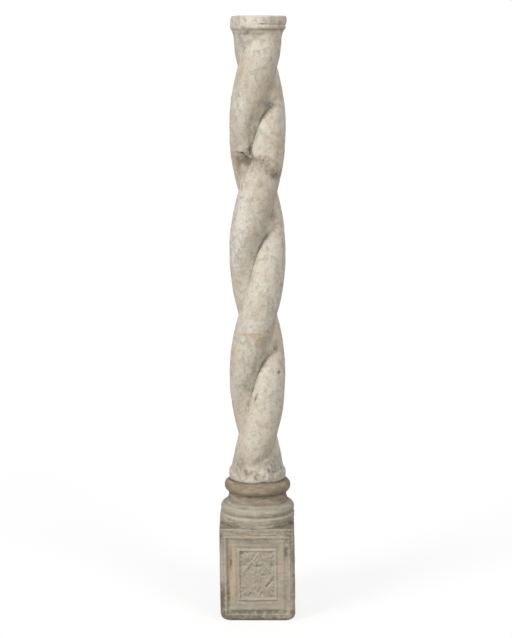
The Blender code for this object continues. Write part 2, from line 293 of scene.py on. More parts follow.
class Signal:
    """What one node of a material gives, so that sums of them are written as sums."""

    def __init__(self, tree, socket=None):
        self.tree = tree
        self.socket = socket

    def node(self, kind, settings=None, inputs=None, output=0):
        """Adds a node with its settings first, then the values or links of its sockets."""
        made = self.tree.nodes.new(kind)
        for name, value in (settings or {}).items():
            setattr(made, name, value)
        for key, value in (inputs or {}).items():
            if isinstance(value, Signal):
                self.tree.links.new(value.socket, made.inputs[key])
            else:
                made.inputs[key].default_value = value
        return Signal(self.tree, made.outputs[output])

    def math(self, operation, first, second):
        return self.node("ShaderNodeMath", {"operation": operation}, {0: first, 1: second})

    def __add__(self, other):
        return self.math("ADD", self, other)

    __radd__ = __add__

    def __sub__(self, other):
        return self.math("SUBTRACT", self, other)

    def __rsub__(self, other):
        return self.math("SUBTRACT", other, self)

    def __mul__(self, other):
        return self.math("MULTIPLY", self, other)

    __rmul__ = __mul__

    def between(self, low, high):
        """0 where this is at or under low, 1 where it is at or over high, and smooth between."""
        settings = {"interpolation_type": "SMOOTHSTEP"}
        return self.node("ShaderNodeMapRange", settings, {0: self, 1: low, 2: high, 3: 0.0, 4: 1.0})

    def mixed(self, colour, other):
        """colour where this is 0 and other where it is 1."""
        first, second = (tone if isinstance(tone, Signal) else (*tone, 1) for tone in (colour, other))
        return self.node("ShaderNodeMix", {"data_type": "RGBA"}, {0: self, 6: first, 7: second}, 2)

    def layered(self, *layers):
        """This colour with each (mask, colour) laid over it in turn."""
        laid = self
        for mask, tone in layers:
            laid = mask.mixed(laid, tone)
        return laid

    def clouds(self, place, size, detail=4.0, rough=0.55, warp=0.0):
        """Noise with clouds of a size in millimetres."""
        inputs = {"Vector": place, "Scale": 1 / (size * MM), "Detail": detail, "Roughness": rough,
                  "Distortion": warp}
        return self.node("ShaderNodeTexNoise", {}, inputs)

    def painted(self, name):
        return self.node("ShaderNodeAttribute", {"attribute_name": name}, {}, "Fac")


def new_stone_material(name):
    """A material with its shader, the pen that adds nodes, and the place on the piece."""
    material = bpy.data.materials.new(name)
    material.use_nodes = True
    tree = material.node_tree
    shader = tree.nodes["Principled BSDF"]
    pen = Signal(tree)
    place = pen.node("ShaderNodeTexCoord", output="Object")
    return material, shader, pen, place


def finish_material(pen, shader, colour, roughness, height, strength):
    """Links the colour, the roughness and the fine grain, whose height is in millimetres."""
    bump = pen.node("ShaderNodeBump", {}, {"Strength": strength, "Distance": MM, "Height": height})
    pen.tree.links.new(colour.socket, shader.inputs["Base Color"])
    pen.tree.links.new(roughness.socket, shader.inputs["Roughness"])
    pen.tree.links.new(bump.socket, shader.inputs["Normal"])
    shader.inputs["Specular IOR Level"].default_value = 0.35


def stone_grain(pen, place):
    """The height of the fine grain in millimetres: sugary crystals, soft dents and small pits."""
    crystals = pen.clouds(place, 1.6, 3.0, 0.7)
    dents = pen.clouds(place, 9.0, 3.0, 0.6)
    pores = pen.node("ShaderNodeTexVoronoi", {}, {"Vector": place, "Scale": 1 / (5.5 * MM)})
    holes = (1 - pores.between(0.06, 0.2)) * pen.clouds(place, 30.0).between(0.5, 0.68)
    return crystals * 0.25 + dents * 0.5 - holes * 0.5


def shaft_marble(colours):
    """Pale cream marble, greyer in clouds, with dirt and painted shade in its grooves and hollows, painted
    light on its lit left side, and iron stains.
    """
    material, shader, pen, place = new_stone_material("weathered shaft marble")
    broad = pen.clouds(place, 85.0, 5.0, 0.6, 0.4)
    upright = pen.node("ShaderNodeMapping", {}, {"Vector": place, "Scale": (1, 1, 0.8)})
    small = pen.clouds(upright, 14.0, 7.0, 0.70, 0.6)
    veins = pen.clouds(place, 40.0, 6.0, 0.68, 1.0)
    speckle = pen.clouds(place, 3.6, 4.0, 0.75)
    # Dirt and painted shade: the marked dirt and shadow, and the hollows
    dirt_and_shade = pen.painted("grime") * (0.5 + small) + pen.painted("hollow") * (0.55 + small * 0.7)
    dirt_and_shade = dirt_and_shade.between(0.02, 0.95)
    stained = pen.painted("stain") * (0.2 + small * 1.6)
    colour = broad.between(0.36, 0.64).mixed(colours.pale, colours.warm).layered(
        (veins.between(0.50, 0.66) * 0.6, colours.rose),
        ((1 - veins).between(0.52, 0.66) * 0.6, colours.green),
        # Clean marble, and painted light on the lobes' lit left side and the head
        (pen.painted("pale").between(0.0, 1.0), colours.clean),
        (small.between(0.44, 0.66) * 0.75, colours.grey),
        (pen.painted("scar") * (0.3 + small), colours.scar),
        (dirt_and_shade * 0.85, colours.grime),
        (stained.between(0.05, 1.35) * 0.9, colours.stain),
        (speckle.between(0.50, 0.72) * 0.42, colours.grime),
        (pen.painted("edge") * 0.4, colours.pale),
    )
    roughness = 0.58 + dirt_and_shade * 0.2 + small * 0.1
    finish_material(pen, shader, colour, roughness, stone_grain(pen, place), 0.55)
    return material


def pedestal_marble(colours):
    """Darker marble: ochre and rose patina, grey-green growth, dirt and painted shade in the carving, and
    paler worn edges with painted highlights along its lines.
    """
    material, shader, pen, place = new_stone_material("weathered pedestal marble")
    flattened = pen.node("ShaderNodeMapping", {}, {"Vector": place, "Scale": (1, 1, 2.6)})
    broad = pen.clouds(place, 60.0, 5.0, 0.6, 0.5)
    small = pen.clouds(place, 13.0, 6.0, 0.7)
    streaks = pen.clouds(flattened, 34.0, 6.0, 0.68, 0.8)
    speckle = pen.clouds(place, 3.4, 4.0, 0.75)
    layers = pen.node("ShaderNodeMapping", {}, {"Vector": place, "Scale": (1, 1, 7.0)})
    lines = pen.clouds(layers, 30.0, 5.0, 0.62, 0.5)
    lined = pen.painted("lined")
    # Dirt and painted shade: the marked dirt, the seat's top and the carving's hollows
    dirt_and_shade = pen.painted("grime") + pen.painted("hollow") * (0.5 + small * 0.9)
    dirt_and_shade = (dirt_and_shade + small.between(0.46, 0.7) * 0.3).between(0.02, 0.95)
    colour = broad.between(0.36, 0.64).mixed(colours.stone, colours.tan).layered(
        (streaks.between(0.48, 0.64) * 0.75, colours.grey),
        ((1 - streaks).between(0.52, 0.66) * 0.55, colours.pale),
        (lines.between(0.48, 0.62) * lined * 0.6, colours.grey),
        ((1 - lines).between(0.50, 0.64) * lined * 0.6, colours.sand),
        (pen.painted("sand") * (0.4 + small * 0.8), colours.sand),
        (pen.painted("ochre") * (0.45 + broad * 0.7), colours.ochre),
        (pen.painted("rose") * (0.3 + streaks * 0.9), colours.rose),
        (pen.painted("lichen") * (0.35 + streaks * 0.8), colours.lichen),
        (lines.between(0.49, 0.62) * lined * 0.30, colours.grime),
        ((1 - lines).between(0.51, 0.64) * lined * 0.34, colours.pale),
        (dirt_and_shade * 0.75, colours.grime),
        (pen.painted("edge") * (0.2 + small * 0.8), colours.pale),
        (speckle.between(0.52, 0.74) * 0.35, colours.grime),
    )
    roughness = 0.62 + dirt_and_shade * 0.2 + small * 0.1
    finish_material(pen, shader, colour, roughness, stone_grain(pen, place), 0.7)
    return material


# The shaft's mesh. Its rows are spread over stretches of (height, rows up to there)
SHAFT_COLUMNS = 224
SHAFT_CUTS = (20, 19)
SHAFT_ROWS = (SHAFT_CUTS[0] + 1) * (SHAFT_CUTS[1] + 1)
SHAFT_UNDER_ROWS = 5
SHAFT_TOP_ROWS = 12
SHAFT_STRETCHES = ((0, 0), (40, 24), (760, 218), (830, 40), (1110, 74))
FRONT_CROWDING = 0.3

# Marks on the shaft's front: (across, height, half width, half height, lean in degrees, how strong).
# First the dirt, with painted shadow under the break's lip, in the groove under the head's bead, under the
# head's fillet and in the gap at the foot
SHAFT_DIRT_AND_SHADOW = (
    (12, 1290, 17, 12, 10, 0.34), (32, 1283, 15, 10, 0, 0.34), (-14, 1262, 9, 26, -20, 0.3),
    (-22, 1222, 10, 34, -10, 0.26), (-36, 1146, 14, 10, 0, 0.85), (-48, 1140, 4.5, 24, 5, 0.8),
    (46, 1119, 6, 9, -20, 0.5), (-17, 1174, 4, 17, 6, 0.8), (-28, 1170, 12, 9, 0, 0.4),
    (44, 396, 20, 24, 0, 0.16), (-10, 1156, 13, 5, 0, 0.5), (17, 1157, 13, 7, 0, 0.5),
    (4, 1142, 44, 22, 0, 0.24), (-38, 1116, 13, 14, 0, 0.3), (20, 1118, 26, 12, -10, 0.22),
    (14, 346, 12, 4, 0, 0.5), (40, 1112, 16, 10, -20, 0.3), (9, 1479, 10, 1.2, 0, 0.7),
    (44, 1010, 18, 14, -25, 0.34), (22, 1018, 22, 10, -10, 0.2), (-4, 960, 14, 26, -28, 0.2),
    (44, 680, 10, 18, -10, 0.5), (0, 655, 18, 26, -20, 0.2), (-24, 600, 12, 34, -10, 0.34),
    (-26, 545, 9, 24, 0, 0.12), (-5, 560, 3.5, 16, -24, 0.8), (46, 600, 8, 60, -6, 0.14),
    (-55, 1010, 6, 60, 6, 0.12), (54, 621, 3.5, 4, 0, 0.8), (-23, 1462, 9, 8, 0, 0.45),
    (-40, 1440, 8, 22, 10, 0.3), (-5, 360, 5, 6, 0, 0.6), (32, 392, 14, 26, 0, 0.2),
    (-40, 392, 9, 26, 8, 0.12), (-8, 372, 34, 10, 0, 0.2), (-22, 1456, 34, 4, 0, 0.35),
    (30, 1457, 26, 3, 0, 0.3), (-46, 1340, 10, 30, -10, 0.2), (46, 1350, 9, 26, 10, 0.22),
)
# Pale places: clean marble, and painted light on the lit left side of the lobes and on the head
SHAFT_PALE = (
    (-10, 1484, 66, 14, 0, 0.8), (10, 1410, 34, 30, 0, 0.5), (-10, 1340, 30, 26, 0, 0.3),
    (-46, 1290, 16, 50, 0, 0.7), (-44, 985, 18, 90, 0, 0.4), (-54, 898, 14, 34, 0, 0.9),
    (24, 358, 2.4, 9, 0, 1), (-42, 690, 16, 60, 0, 0.3), (14, 1240, 16, 30, -24, 0.3),
    (-60, 908, 2.6, 8, 0, 1.6), (40, 917, 16, 1.8, 0, 0.7), (-42, 1020, 16, 60, 0, 0.5),
    (-40, 960, 16, 40, 0, 0.4), (0, 850, 30, 60, 0, 0.3), (-14, 930, 4, 30, -20, 0.4),
    (-10, 570, 3, 34, -18, 0.7), (12, 372, 22, 7, -20, 0.6), (48, 365, 12, 7, 0, 0.6),
    (-30, 358, 20, 6, 0, 0.4), (-45, 1173, 14, 5, 0, 0.5), (-57, 1146, 3, 3, 0, 1),
    (31, 1158, 8, 6, 0, 0.7), (22, 1143, 3, 5, 0, 1), (24, 1131, 6, 2.4, 20, 0.8),
    (-20, 700, 16, 14, 0, 0.4),
)
# Rusty stains
SHAFT_STAINS = (
    (-38, 724, 9, 6, 0, 0.6), (-12, 722, 30, 4, 4, 1.1), (-8, 712, 34, 8, 0, 0.4),
    (18, 730, 16, 3.6, -18, 1), (40, 744, 3.4, 11, 10, 1), (9, 698, 11, 22, 6, 1.1),
    (-4, 690, 2.6, 20, 8, 0.8), (-16, 676, 20, 30, 0, 0.14), (34, 708, 16, 16, 0, 0.34),
    (-24, 652, 12, 2.2, 8, 0.4), (-56, 1200, 10, 34, 0, 0.8), (-16, 1262, 13, 24, 0, 0.45),
    (8, 1160, 16, 9, 0, 0.9), (44, 1186, 18, 20, 0, 0.6), (42, 1132, 16, 22, 20, 0.8),
    (-50, 1132, 12, 22, 10, 0.9), (-20, 975, 9, 18, 0, 0.7), (-34, 935, 10, 30, 0, 0.25),
    (-52, 900, 10, 22, 0, 0.2), (6, 1333, 34, 12, 0, 0.6), (46, 1326, 12, 12, 0, 0.7),
    (-8, 1290, 7, 24, -10, 0.3), (20, 1475, 8, 12, 0, 0.3), (30, 610, 16, 40, 0, 0.26),
    (10, 500, 16, 30, 0, 0.24), (-40, 640, 16, 30, 0, 0.2),
)
# Chips and gouges, which end in how deep they are in millimetres
SHAFT_CHIPS = (
    (-18, 1173, 3.2, 15, 6, 2.4), (6, 1159, 12, 2.2, -4, 1.4), (16, 1152, 4, 3, 0, 1.6),
    (9, 1479, 9, 1.3, 0, 0.8), (-64, 1498, 8, 5, 0, 2.2), (14, 345, 10, 4, 0, 2.6),
    (27, 348, 4, 5, 0, 1.6), (46, 372, 4, 4, 0, 1.4), (-46, 350, 6, 4, 0, 1.4),
    (-5, 562, 2.6, 16, -24, 2.4), (54, 621, 2.6, 2.6, 0, 2), (29, 1148, 3.2, 3.2, 0, 2),
    (24, 1136, 4.2, 3, 30, 1.8), (33, 1141, 3, 4.5, 0, 1.4), (45, 1115, 3.5, 6.5, -20, 2.6),
    (-23, 1459, 7, 6.5, 0, 1), (-4, 361, 3.4, 3.4, 0, 1), (-28, 829, 2.6, 2, 0, 1.4),
    (1, 768, 3.4, 1.6, 0, 1), (30, 497, 2.6, 2.2, 0, 1.2), (-3, 1290, 3, 2, 0, 0.9),
    (18, 1283, 3, 3, 0, 1.2),
)


def shaft_rows():
    """Each row of the shaft: its height above the seat, and its share of the radius."""
    body = SHAFT_ROWS + 1 - SHAFT_UNDER_ROWS - SHAFT_TOP_ROWS
    places, rows = zip(*SHAFT_STRETCHES, (SHAFT_HEIGHT, 0))
    counts = [*rows[:-1], body - 1 - sum(rows)]
    heights = np.interp(np.arange(body), np.cumsum(counts), places)
    height = np.concatenate([np.zeros(SHAFT_UNDER_ROWS), heights, np.full(SHAFT_TOP_ROWS, SHAFT_HEIGHT)])
    under = np.linspace(0.2, 0.97, SHAFT_UNDER_ROWS)
    over = np.linspace(0.985, 0.08, SHAFT_TOP_ROWS)
    return height, np.concatenate([under, np.ones(body), over])


def strand_radius(turn, settings):
    """The radius of the two-strand section, from the line through both strands, with a softened crease."""
    offset = settings.strand_offset / MM
    radius = settings.strand_radius / MM
    facing = np.sqrt(np.cos(turn) ** 2 + CREASE_BLEND ** 2)
    circles = offset * facing + np.sqrt(radius ** 2 - (offset * np.sin(turn)) ** 2)
    return circles + STRAND_SHOULDER * np.sin(2 * turn) ** 2


def groove(turn, twist):
    """How near the carved groove each point is, 1 in it, its share of the full depth there, and how far
    beside its line the point stands.

    It drops steeply at its left end and flattens towards its right end, slopes in gently from the upper
    strand, ends in a crisp edge at the lower one, and runs out towards the sides."""
    bend = GROOVE_BEND * (1 - np.cos(2 * twist)) + GROOVE_REACH * np.maximum(np.sin(2 * twist), 0) ** 3
    line = twist + GROOVE_SHIFT + bend
    beside = (turn - line + math.pi / 2) % math.pi - math.pi / 2
    facing = np.degrees((line + math.pi / 2) % math.pi - math.pi / 2)
    upper = np.exp(-((np.abs(beside) / GROOVE_FLANK) ** 1.3))
    lower = np.exp(-((np.abs(beside) / GROOVE_EDGE) ** 1.6))
    return np.where(beside < 0, upper, lower), window(GROOVE_RUN, facing), beside


def shaft_grid(settings):
    """The carved shaft as rows and columns of points, and what its material reads."""
    height, share = shaft_rows()
    even = (np.arange(SHAFT_COLUMNS) / SHAFT_COLUMNS - 0.5) * 2 * math.pi
    turn = even - FRONT_CROWDING * np.sin(even)
    height = height[:, None] + 0 * turn
    share = share[:, None]
    degrees = np.degrees(turn)[None, :] + 0 * height
    down = SHAFT_HEIGHT - height

    twist = math.radians(WAIST_TURN) + 2 * math.pi * (height - LOWEST_WAIST) * MM / settings.twist_pitch
    near, run, beside = groove(turn, twist)
    radius = strand_radius(turn - math.pi / 2 - twist, settings) - settings.groove_depth / MM * near * run
    ragged = 4 + 12 * mottle(around_axis(1 + 0 * height, turn, height / 60), 0.7, 2, 3.0)
    broken = smooth_step(*FOOT_BREAK, np.abs(degrees + ragged))
    foot = along(FOOT_RING, height) * (1 - broken) + along(FOOT_BROKEN, height) * broken
    worn = window(HEAD_WEAR, degrees)
    head = along(HEAD_SHARP, down) * (1 - worn) + along(HEAD_WORN, down) * worn
    ends = np.where(height < FOOT_BELL[-1][0], foot, np.where(down < HEAD_BELL[-1][0], head, 0))
    near_end = smooth_step(*STRAND_ENDS, np.minimum(height, down))
    radius = soft_maximum(radius * (1 - STRAND_TAPER * near_end), ends)

    grid = around_axis(radius * share, turn, height + SHAFT_FOOT)
    x, y, z = np.moveaxis(grid, -1, 0)
    front = smooth_step(15, -15, y)
    weather = settings.weathering / MM
    dent = weather * (0.9 * mottle(grid, 70, 2, 1.0) + 0.5 * mottle(grid, 22, 3, 5.0))
    below = np.interp(degrees, BREAK_TURNS, BREAK_HEIGHTS) + 3.0 * mottle(grid, 9, 3, 8.0) - z
    rough = mottle(grid, 6, 3, 17.0)
    open_part = window(BREAK_OPEN, degrees)
    step = (BREAK_DEPTH + BREAK_OPEN_DEPTH * open_part) * smooth_step(-0.6, 1.6, below)
    crack = bell(below, 0.5, CRACK_WIDTH) * np.clip(0.25 + 0.75 * open_part + 0.9 * rough, 0, 1)
    bruised = bell(below, 12, 15) * window(BREAK_BRUISED, degrees)
    dent += 0.8 * open_part * bell(below, -6, 5)
    dent -= step * np.exp(-np.maximum(below, 0) / BREAK_FADE) + CRACK_DEPTH * crack
    dent -= 0.9 * bruised * np.maximum(rough, -0.2)
    dent -= front * spots(x, z, SHAFT_CHIPS) * (1 + 0.4 * mottle(grid, 5, 2, 4.0))
    side = share > 0.99
    flank = np.where(side, 1.0, 0.0)
    normal = normals_of(grid)
    normal[..., 2] *= flank
    moved = grid + normal * (dent * flank)[..., None]
    lift = np.where(side, 0.0, 0.6 * mottle(moved, 25, 3, 6.0) - 0.7)
    moved[..., 2] += np.where(height > SHAFT_HEIGHT / 2, lift, 0.0)
    moved[..., 2] = np.clip(moved[..., 2], SHAFT_FOOT, SHAFT_HEAD)

    hollow = hollowness(moved, 5)
    deep = hollowness(moved, 60)
    pale = front * spots(x, z, SHAFT_PALE)
    scar = smooth_step(-3, 4, below) * np.exp(-np.maximum(below - 12, 0) / 16) * (0.4 + 0.6 * front)
    foot_dirt = np.clip(smooth_step(440, 385, z) * (0.3 + 0.16 * mottle(moved, 18, 3, 31.0)), 0, 1)
    # Dirt in the crack and at the foot, and the marked dirt and painted shadow
    grime = 0.5 * crack + front * spots(x, z, SHAFT_DIRT_AND_SHADOW) + foot_dirt * (1 - np.clip(pale, 0, 1))
    # Painted shade along the groove's upper flank, which turns away from the light, with some dirt
    grime = grime + 0.18 * near * run * smooth_step(0.1, -0.05, beside)
    grime = grime + bruised * (0.12 + 0.35 * np.maximum(rough, 0))
    masks = {
        # Clean marble, and painted light on the lobes' lit left side and the head
        "pale": pale * (1 + 0.4 * mottle(moved, 9, 2, 32.0)),
        # The hollows get dirt and painted shade, small and broad ones alike
        "hollow": smooth_step(0.1, 1.6, hollow) * 0.45 + smooth_step(0.4, 4.5, deep) * 0.45,
        "edge": smooth_step(-0.1, -1.0, hollow),
        # Dirt and painted shade, for the material to mix in
        "grime": grime * (1 + 0.6 * mottle(moved, 8, 3, 2.0)),
        "stain": front * spots(x, z, SHAFT_STAINS) * (1 + 0.5 * mottle(moved, 7, 3, 9.0)),
        "scar": scar * (1 + 0.5 * mottle(moved, 10, 2, 7.0)),
    }
    return moved, masks


# The pedestal's mesh: columns on its front, right, back and left, and rows
PEDESTAL_SIDES = (160, 90, 60, 90)
PEDESTAL_COLUMNS = sum(PEDESTAL_SIDES)
PEDESTAL_CUTS = (60, 3)
PEDESTAL_ROWS = (PEDESTAL_CUTS[0] + 1) * (PEDESTAL_CUTS[1] + 1)
UNDER_ROWS = 5
FOOT_ROWS = 9
EDGE_ROWS = 3
SEAT_ROWS = 9

# Marks on the pedestal's front, as on the shaft's
PEDESTAL_MARKS = {
    "grime": (
        (-88, 60, 9, 40, 0, 0.75), (-66, 160, 3, 26, 0, 0.7), (-90, 215, 6, 22, 0, 0.35),
        (-72, 70, 5, 40, 0, 0.35), (87, 120, 7, 100, 0, 0.3), (80, 200, 8, 40, 0, 0.3),
        (70, 190, 5, 40, 0, 0.35), (0, 24, 90, 7, 0, 0.5), (0, 8, 90, 6, 0, 0.2), (-40, 10, 40, 9, 0, 0.3),
        (0, 206, 60, 5, 0, 0.3), (-62, 247, 20, 6, 0, 0.22), (44, 246, 26, 5, 0, 0.18),
        (0, 231, 80, 2, 0, 0.2),
    ),
    "sand": (
        (-60, 122, 7, 50, 0, 1.6), (-59, 184, 7, 22, 0, 0.6), (59, 140, 6, 70, 0, 0.5),
        (-20, 223, 60, 5, 0, 0.5), (-86, 128, 7, 30, 0, 0.6), (0, 187, 50, 6, 0, 0.3),
    ),
    "ochre": (
        (-74, 150, 4, 60, 0, 0.5), (-44, 120, 4, 60, 0, 0.5), (-20, 223, 60, 6, 0, 0.3),
        (-30, 250, 34, 6, 0, 0.5), (-84, 170, 6, 20, 0, 0.3), (30, 8, 34, 6, 0, 0.3),
    ),
    "lichen": (
        (56, 33, 30, 8, 0, 0.9), (0, 119, 34, 60, 0, 0.35), (-86, 120, 8, 22, 0, 1.7),
        (-86, 170, 8, 11, 0, 1.6), (-20, 250, 60, 5, 0, 0.5), (86, 104, 6, 22, 0, 0.8),
        (10, 36, 50, 4, 0, 0.5), (0, 233, 70, 2.5, 0, 0.4), (20, 214, 60, 3, 0, 0.5),
        (-10, 8, 26, 6, 0, 0.4), (69, 245, 5, 4, 0, 1),
    ),
    "rose": (
        (3, 252, 5, 3, 0, 1), (64, 240, 10, 4, 0, 0.6), (-52, 250, 10, 4, 0, 0.4),
    ),
}
MARK_STRENGTH = 1.3

# The turned mouldings: the drum from the die up as (radius, height), and the round ones as middle radius,
# middle height, reach and rise
DRUM = ((94, 238.3), (93.6, 240), (93.5, 247), (93.6, 254), (93.4, 257.5), (92.8, 259.6),
        (90.9, 260.7))
LOWER_TORUS = (78.9, 272.4, 13.4, 13.4)
HOLLOW_FOOT = 286.0
HOLLOW_TOP = 311.0
HOLLOW_TOP_RADIUS = 71.6
HOLLOW_SINK = 1.3
UPPER_TORUS = (64, 327.7, 18.9, 16.6)
EDGE_ROUNDING = 3


def oval(middle, height, reach, rise, start, end, count):
    """Points on the outer side of a round moulding between two angles in degrees."""
    angles = np.radians(np.linspace(start, end, count))
    return [(middle + reach * math.cos(a), height + rise * math.sin(a)) for a in angles]


def turned_rows():
    """The outer line of the mouldings as (radius, height), from the die up and in to the seat's middle."""
    lower = oval(*LOWER_TORUS, -42, 88, 15)
    rim = lower[-1][0]
    hollow = []
    for share in np.linspace(0, 1, 14)[1:-1]:
        radius = rim + (HOLLOW_TOP_RADIUS - rim) * share ** 0.8 - HOLLOW_SINK * math.sin(math.pi * share)
        hollow.append((radius, HOLLOW_FOOT + (HOLLOW_TOP - HOLLOW_FOOT) * share))
    upper = oval(*UPPER_TORUS, -52, 66, 18)
    seat = []
    for share in np.linspace(0.97, 0.1, SEAT_ROWS):
        seat.append((upper[-1][0] * share, SEAT_HEIGHT - EDGE_ROUNDING * smooth_step(0.9, 1.0, share)))
    return [*DRUM, *lower, *hollow, *upper, *seat]


def rounded_square(outline, half, corner):
    """Draws a square outline's corners in to rounded ones."""
    inner = half - corner
    over = np.maximum(np.abs(outline) - inner, 0)
    scale = np.where((over > 0).all(axis=0), corner / np.maximum(np.hypot(*over), 1e-6), 1)
    return np.sign(outline) * (np.minimum(np.abs(outline), inner) + over * scale)


def square_outline(half):
    """Where the columns stand on the square, as x and y, starting at the back and passing the left side."""
    front, right, back, left = PEDESTAL_SIDES
    sides = (
        ((0, 1), (-1, 1), back // 2), ((-1, 1), (-1, -1), left), ((-1, -1), (1, -1), front),
        ((1, -1), (1, 1), right), ((1, 1), (0, 1), back - back // 2),
    )
    return half * np.concatenate([np.linspace(*side, endpoint=False) for side in sides]).T


def lobe(across, up, root, heading, length, width, height):
    """A leaf of the relief: a long pointed lobe with a sunk vein."""
    angle = math.radians(heading)
    x = across - root[0] - math.cos(angle) * length * 0.55
    z = up - root[1] - math.sin(angle) * length * 0.55
    u = (x * math.cos(angle) + z * math.sin(angle)) / (length / 2)
    v = (z * math.cos(angle) - x * math.sin(angle)) / (width / 2 * np.sqrt(np.maximum(1 - u * u, 0.02)))
    body = np.sqrt(np.maximum(1 - v * v, 0)) * np.sqrt(np.maximum(1 - u * u, 0))
    vein = 0.35 * bell(v, 0, 0.22) * smooth_step(0.95, 0.6, np.abs(u))
    return height * np.maximum(body - vein, 0)


def lozenge_band(across, up):
    """The raised diamond-shaped band round the rosette."""
    half_width, half_height = LOZENGE
    slope = math.hypot(1 / half_width, 1 / half_height)
    inside = (1 - np.abs(across) / half_width - np.abs(up) / half_height) / slope
    band = window((-0.8, 1.2, LOZENGE_BAND - 0.8, LOZENGE_BAND + 1.2), inside)
    return 2.9 * band - 0.9 * bell(inside, LOZENGE_BAND / 2, 1.3)


def rosette(across, up):
    height = 0
    for number in range(8):
        heading = 22.5 + 45 * number
        reach = 20 if number % 4 in (1, 2) else 17
        height = np.maximum(height, lobe(across, up, (0, 0), heading, reach, 9.0, 3.2))
    button = 4.4 * np.sqrt(np.maximum(1 - (np.hypot(across, up) / 4.6) ** 2, 0))
    return np.maximum(height, button)


def fan(across, up, root, heading, spreads, length):
    height = 0
    for spread_angle in spreads:
        reach = length * (1 - 0.35 * abs(spread_angle) / 90)
        leaf = lobe(across, up, root, heading + spread_angle, reach, 8.6, 3.2)
        height = np.maximum(height, leaf)
    return height


# Drill strokes in the front panel, from the panel's middle: (x, z, x, z, half width, depth)
PANEL_STROKES = (
    (-43, 65, -37, 52, 1.5, 1.8), (-37, 52, -30, 63, 1.5, 1.5), (-28, 64, -22, 53, 1.5, 1.6),
    (0, 58, -14, 37, 1.9, 2.2), (7, 55, 14, 37, 1.4, 1.4), (14, 37, 34, 12, 1.4, 1.5),
    (35, 38, 37, 20, 1.7, 2), (35, 60, 35, 50, 1.7, 1.5), (26, 40, 33, 41, 1.5, 1.2),
    (16, 54, 20, 49, 1.7, 1.2), (-1, 33, -1, 22, 1.6, 2), (0, 22, 8, 22, 1.6, 2),
    (38, -15, 21, -30, 1.9, 1.8), (44, -16, 42, -34, 1.5, 1.5), (-34, -36, -27, -34, 1.7, 1.8),
    (-36, -50, -28, -56, 1.6, 1.8), (-25, -56, -16, -46, 1.7, 2), (8, -46, 10, -52, 2.2, 1.6),
    (33, -54, 34, -60, 2, 1.8), (-40, 20, -32, 28, 1.5, 1.2), (-36, 4, -30, 9, 1.5, 1.5),
    (-4, 5, -2, 1, 1.8, 1.8), (10, -4, 22, -1, 1.6, 1.6), (-18, -6, -9, -2, 1.5, 1.2),
)


def panel_relief(across, up, side):
    """The height of the relief above the field. across and up count from the panel's middle."""
    if side == "back":
        return 0 * across
    height = np.maximum(lozenge_band(across, up), rosette(across, up))
    if side != "front":
        return height * PANEL_RELIEF
    for left in (-1, 1):
        for low in (-1, 1):
            heading = math.degrees(math.atan2(low * LOZENGE[1], left * LOZENGE[0]))
            root = (left * LOZENGE[0] * 0.54, low * LOZENGE[1] * 0.54)
            height = np.maximum(height, fan(across, up, root, heading, (-68, -34, 0, 34, 68), 25))
    for low in (-1, 1):
        height = np.maximum(height, fan(across, up, (0, low * 22), low * 90, (-48, 0, 48), 20))
    height = height * PANEL_RELIEF
    for *line, depth in PANEL_STROKES:
        height = height - STROKE_DEPTH * depth * stroke(across, up, line)
    return height



def face_depth(across, up, side):
    """How deep the carving lies below a face of the die, and where its raised lines run."""
    reach = FRAME_REACH - np.abs(across)
    head = FRAME_TOP - up
    foot = up - FRAME_FOOT
    wide = BAND_END + BAND_FOOT_EXTRA
    squeezed = BAND_START + (foot - BAND_START) * (BAND_END - BAND_START) / (wide - BAND_START)
    foot = np.where(foot < BAND_START, foot, np.where(foot < wide, squeezed, foot - BAND_FOOT_EXTRA))
    inside = np.minimum(np.minimum(reach, head), foot)
    depth = along(FRAME_PROFILE, inside)
    depth = depth * np.where((head <= inside) & (inside < 14), TOP_GROOVE, 1)
    relief = panel_relief(across, up - FIELD_MIDDLE, side)
    field = smooth_step(36.6, 37.6, inside)
    fillet = bell(inside, -0.4, 1.5) + bell(inside, 33.6, 1.6)
    return depth - field * np.clip(relief, -2.5, 4.6), fillet


def pedestal_form(half, foot_round, corner_radius):
    """The pedestal before it is carved, as rows and columns of points, and how many rows are the die's."""
    outline = square_outline(half)
    turned = turned_rows()
    wall = PEDESTAL_ROWS + 1 - UNDER_ROWS - FOOT_ROWS - EDGE_ROWS - len(turned)
    top = DIE_HEIGHT - EDGE_ROUNDING
    levels = [((half - foot_round) * share, 0.0) for share in np.linspace(0.15, 0.97, UNDER_ROWS)]
    for angle in np.linspace(0, math.pi / 2, FOOT_ROWS):
        levels.append((half - foot_round * (1 - math.sin(angle)), foot_round * (1 - math.cos(angle))))
    levels += [(half, height) for height in np.linspace(foot_round, top, wall + 1)[1:]]
    for angle in np.linspace(0, math.pi / 2, EDGE_ROWS + 1)[1:]:
        levels.append((half - EDGE_ROUNDING * (1 - math.cos(angle)), top + EDGE_ROUNDING * math.sin(angle)))
    rows = []
    for reach, height in levels:
        corner = corner_radius + CORNER_FLARE * math.exp(-height / CORNER_FLARE_HEIGHT)
        x, y = rounded_square(outline, half, corner)
        if height > top:
            reach = reach * np.maximum(1, DRUM[0][0] * half / (reach * np.hypot(x, y)))
        rows.append(np.stack([x / half * reach, y / half * reach, 0 * x + height], axis=-1))
    circle = np.arctan2(outline[0], -outline[1])
    rows += [around_axis(radius, circle, height) for radius, height in turned]
    return np.array(rows), len(levels)


